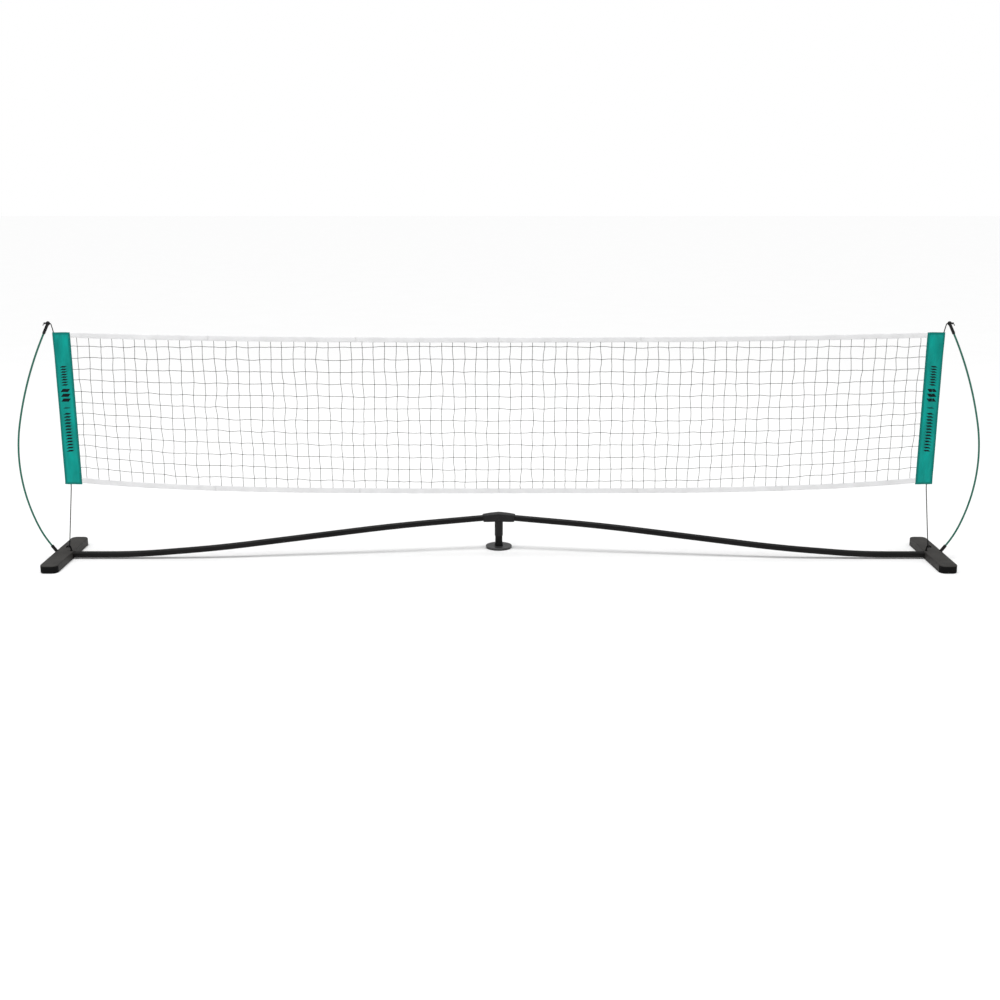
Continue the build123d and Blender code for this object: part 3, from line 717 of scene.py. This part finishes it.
def tape_section(x, upper, lower, top):
    """The outline of a folded tape at x, clockwise from its upper edge."""
    tall = upper - lower
    ripple = TAPE_RIPPLE * drift(x, 0, size=0.05, seed=23 if top else 24)
    frill = TAPE_FRILL * drift(x, 0, size=0.022, seed=25 if top else 26)
    outline = []
    for face in (-1, 1):
        for k in range(TAPE_FACE_STEPS + 1):
            t = k / TAPE_FACE_STEPS if face < 0 else 1 - k / TAPE_FACE_STEPS
            half = TAPE_HALF * min(1.0, max(0.0, math.sin(math.pi * t)) * 3 + 0.12) ** 0.5
            crimp = TAPE_CRIMP * drift(x, t * 0.02, size=0.014, seed=21 if top else 22)
            out = wave(x, upper) + face * half + crimp + ripple * (t if top else 1 - t)
            outline.append((x, out, upper - tall * t + frill * (1 if t in (0, 1) else 0.5)))
    return outline


def make_tape(side, sign, part, start, end, top):
    """One stretch of the top or bottom tape, with its stitches."""
    which = "top" if top else "bottom"
    if part == LAST_STRETCH:
        end = inner_edge(NET_TOP - TAPE_END_UP if top else SLEEVE_FOOT + TAPE_END_UP) + TAPE_TUCK
    xs = np.linspace(start, end, max(60, int((end - start) / TAPE_STEP)))
    sections = np.array([tape_section(sign * x, *tape_edges(x, top), top) for x in xs])
    if sign < 0:
        sections = sections[:, ::-1]
    count = sections.shape[1]
    across = np.linspace(0, TOP_TAPE, count // 2)
    uv = np.stack(np.meshgrid(xs, np.concatenate([across, across[::-1], [0]]), indexing="ij"), axis=2)
    strip = Builder()
    strip.grid(sections, uv, closed_across=True)
    strip.cap_ends(count, len(xs))
    tape = strip.build(f"{side}_{which}_tape_{part + 1}", tape_cloth)
    thread = make_tape_stitches(f"{side}_{which}_stitches_{part + 1}", sign, start, end, top)
    for piece in (tape, thread):
        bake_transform(piece)


def make_tape_stitches(name, sign, start, end, top):
    """A row of stitches on each face, near the tape's edge on the mesh's side."""
    margin, thread_r = 0.001, 0.0002
    sewing = Builder()
    for face in (-1, 1):
        path = []
        for k, x in enumerate(np.arange(start + margin, end - margin, STITCH_STEP)):
            upper, _ = tape_edges(x, top)
            z = upper - TOP_TAPE + STITCH_INSET if top else upper - STITCH_INSET
            out = TAPE_HALF + (0.00022 if k % 4 < 2 else -0.0003)
            path.append((sign * x, wave(sign * x, upper) + face * out, z))
        sewing.tube(path, thread_r, sides=4)
    return sewing.build(name, white_thread)


def node_place(column, row):
    """Where a column (0 in the middle) and a row of the mesh cross, with the slack of hand-tied knots."""
    key = random.Random(column * 101 + row * 7 + 5)
    x = column * PITCH + key.uniform(-COLUMN_SLIP, COLUMN_SLIP)
    x += COLUMN_DRIFT * drift(column * PITCH, row * KEY_STEP, size=0.13, seed=31)
    near_end = (abs(x) / NET_HALF) ** 2
    first = top_edge(x) - TOP_TAPE - ROW_TOP[0] - (ROW_TOP[1] - ROW_TOP[0]) * near_end
    last = foot_edge(x) + BOTTOM_TAPE + ROW_FOOT[0] + (ROW_FOOT[1] - ROW_FOOT[0]) * near_end
    z = first - (first - last) / (ROWS - 1) * row
    z += key.uniform(-ROW_SLIP, ROW_SLIP) + ROW_DRIFT * drift(x, row * KEY_STEP, size=0.2, seed=33)
    return Vector((x, wave(x, z), z))


def curve_through(nodes, steps=5):
    """Points of a Catmull-Rom line through nodes, with its own small slack in each cell."""
    line = []
    for i in range(len(nodes) - 1):
        a, b = nodes[i], nodes[i + 1]
        before = nodes[i - 1] if i else a - (b - a)
        after = nodes[i + 2] if i + 2 < len(nodes) else b + (b - a)
        key = random.Random(round(a.x * 1e5) * 13 + round(a.z * 1e5))
        slack = Vector((key.uniform(-1, 1), 0.6 * key.uniform(-1, 1), key.uniform(-1, 1))) * CELL_SLACK
        for k in range(steps):
            t = k / steps
            point = 0.5 * (2 * a + (b - before) * t + (2 * before - 5 * a + 4 * b - after) * t * t
                           + (3 * a - before - 3 * b + after) * t ** 3)
            line.append(point + slack * math.sin(math.pi * t) ** 2)
    return line + [nodes[-1]]


def add_knot(mesh, place, key):
    """A small tied knot: two lumps that cross, which the four strands run into."""
    lean = key.uniform(-0.5, 0.5)
    offset = Vector((-0.0006, -0.0003, 0.0005))
    half_length = 0.0016
    stations = (-1, -0.6, 0, 0.6, 1)
    lump = np.array([0.0002, 0.00085, 0.00115, 0.00085, 0.0002])
    for toward, stretch in ((1, 1.0), (-1, 0.9)):
        centre = place + offset * toward
        ends = Vector((math.cos(lean + 0.8), 0, math.sin(lean + 0.8))) * half_length * stretch
        radii = lump * key.uniform(0.9, 1.12)
        mesh.tube([tuple(centre + ends * t) for t in stations], radii, sides=6)
        lean += 1.5


def clip_line(line, start, end):
    """The stretch of a line between two distances from the middle, with exact ends."""
    kept = []
    for a, b in zip(line, line[1:]):
        for limit in (start, end):
            past_a, past_b = abs(a.x) - limit, abs(b.x) - limit
            if a.x * b.x >= 0 and past_a * past_b < 0:
                kept.append((abs(limit), a.lerp(b, past_a / (past_a - past_b))))
        if a.x * b.x < 0 and start == 0:
            kept.append((0.0, a.lerp(b, a.x / (a.x - b.x))))
    kept += [(abs(p.x), p) for p in line if start <= abs(p.x) <= end and (start > 0 or p.x * line[-1].x > 0)]
    kept.sort(key=lambda pair: pair[0])
    return [point for _, point in kept]


def make_mesh(side, sign, part, start, end):
    """One stretch of the mesh: its rows, its columns and a knot where they cross."""
    first = math.ceil(start / PITCH)
    last = math.floor(end / PITCH)
    mesh = Builder()
    for row in range(ROWS):
        nodes = [node_place(sign * c, row) for c in range(max(first - 1, -1), min(last + 1, COLUMNS) + 1)]
        if part == LAST_STRETCH:
            tail = nodes[-1].copy()
            tail.x = sign * (inner_edge(tail.z) + TWINE_TUCK)
            nodes.append(tail)
        line = clip_line(curve_through(nodes), start, math.inf if part == LAST_STRETCH else end)
        mesh.tube([tuple(point) for point in line], TWINE_R, sides=6)
    for column in range(first, min(last, COLUMNS) + 1):
        if sign < 0 and column == 0:
            continue
        nodes = [node_place(sign * column, row) for row in range(ROWS)]
        head = nodes[0].copy()
        head.z = top_edge(head.x) - TOP_TAPE + TAPE_HOLD
        heel = nodes[-1].copy()
        heel.z = foot_edge(heel.x) + BOTTOM_TAPE - TAPE_HOLD
        mesh.tube([tuple(point) for point in curve_through([head, *nodes, heel])], TWINE_R, sides=6)
        for place in nodes:
            add_knot(mesh, place, random.Random(round(place.x * 1e6) + round(place.z * 1e6)))
    piece = mesh.build(f"{side}_net_mesh_{part + 1}", twine)
    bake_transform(piece)


def make_net(side, sign):
    """The net on one side, in stretches between the breaks, each with its two tapes and its mesh."""
    for part, (start, end) in enumerate(zip(BREAKS, (*BREAKS[1:], SEAM_TOP))):
        for top in (True, False):
            make_tape(side, sign, part, start, end, top)
        make_mesh(side, sign, part, start, end)


# ---- The making: camera and cords first ----
make_camera()
# The knots and the loop under the hook use a darker copy of the cord braid: painted shade in the tight knots.
shaded_knot_braid = twisted("shaded_knot_braid", (0.006, 0.006, 0.006), roughness=0.8, lay=0.0016, depth=0.00012)
cord_braid = twisted("cord_braid", (0.02, 0.0195, 0.019), roughness=0.7, lay=0.0016, depth=0.00012)
for side, sign in SIDES.items():
    make_bowstring(side, sign)

# The sleeve's colour carries painted sheen streaks and painted shade along its hems and seams.
sleeve_cloth = woven("sleeve_cloth", (0.0, 0.315, 0.268), roughness=0.45, thread=0.0006, depth=0.00006,
                     low=0.78, high=1.25, hems=(NET_TOP - SLEEVE_FOOT, SLEEVE_WIDTH))
teal_thread = twisted("teal_thread", (0.004, 0.2, 0.165), roughness=0.6, lay=0.0005, depth=0.00003)
print_ink = woven("print_ink", (0.003, 0.006, 0.008), roughness=0.55, thread=0.0006, depth=0.00004,
                  low=0.8, high=1.2)
tape_cloth = woven("tape_cloth", (0.88, 0.88, 0.885), roughness=0.75, thread=0.0011, depth=0.00012,
                   low=0.93, high=1.04, blotch=14)
white_thread = twisted("white_thread", (0.78, 0.78, 0.78), roughness=0.7, lay=0.0005, depth=0.00003)
twine = twisted("mesh_twine", (0.03, 0.029, 0.028), roughness=0.8, lay=0.0009, depth=0.0001)

cad_looks = {
    "tube_black": coated_metal("tube_black", (0.009, 0.0085, 0.0085), roughness=0.4),
    "hub_black": moulded("hub_black", (0.014, 0.0135, 0.014), roughness=0.45, grain=1800, depth=0.00005),
    "foot_grey": moulded("foot_grey", (0.039, 0.037, 0.035), roughness=0.6, grain=900, depth=0.00012),
    "black_rubber": moulded("black_rubber", (0.006, 0.006, 0.006), roughness=0.72, grain=1500, depth=0.00006,
                            specular=0.08),
    "black_plastic": moulded("black_plastic", (0.007, 0.007, 0.0075), roughness=0.38, grain=2500,
                             depth=0.00002, coat=0.05),
    "hook_steel": coated_metal("hook_steel", (0.003, 0.003, 0.003), roughness=0.5, specular=0.05),
    "screw_steel": turned_steel("screw_steel"),
    "rod_teal": fibre_rod("rod_teal", (0.008, 0.13, 0.085)),
}
node_looks = {"disc": moulded("disc_black", (0.03, 0.03, 0.031), roughness=0.34, grain=1800, depth=0.00004,
                              specular=0.5)}
slot_of = {row["node"]: row["material_slot"] for row in frame["record"]["subparts"]}
for node, piece in frame["nodes"].items():
    look = node_looks.get(node, cad_looks.get(slot_of[node]))
    if look:
        piece.data.materials.clear()
        piece.data.materials.append(look)

for side, sign in SIDES.items():
    make_sleeve(side, sign)
    make_net(side, sign)
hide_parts("net_mesh")
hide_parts("top_tape")
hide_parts("bottom_tape")

make_stage()
make_lights()
make_world()
